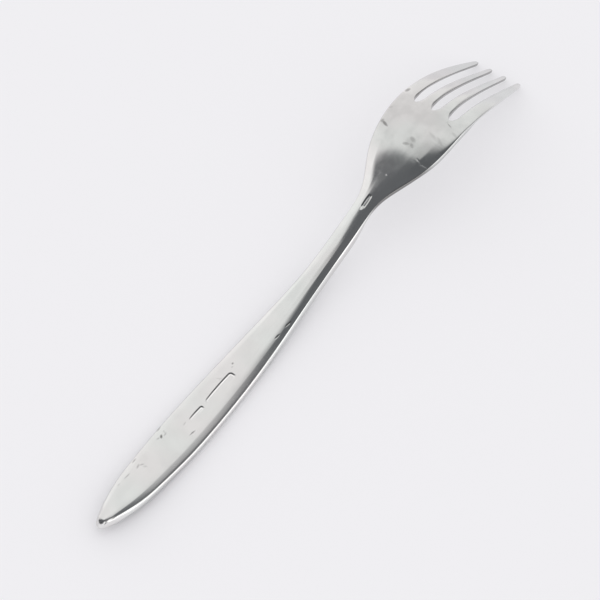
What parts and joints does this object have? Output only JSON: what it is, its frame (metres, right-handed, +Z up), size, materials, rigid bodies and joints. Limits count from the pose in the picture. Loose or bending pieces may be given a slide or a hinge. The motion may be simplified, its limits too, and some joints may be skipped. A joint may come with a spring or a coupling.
{
  "type": "dinner fork",
  "caption": "Dinner fork of plain satin steel with slim curved tines, a rounded palm, a narrow neck and a leaf-shaped handle, lying face down.",
  "frame": {"origin": "on the table, under the middle of the fork's length and width, as it lies face down", "axes": "+X from the handle's end towards the tine tips, +Y across the fork, +Z up from the table, out of the fork's back"},
  "size_m": [0.1954, 0.0238, 0.0221],
  "materials": {
    "steel": "stainless steel, polished and worn to a soft satin, with fine scratches and small dents"
  },
  "bodies": {
    "root": {"handle": "steel", "neck": "steel", "palm": "steel", "tine_1": "steel", "tine_2": "steel", "tine_3": "steel", "tine_4": "steel"}
  },
  "joints": []
}
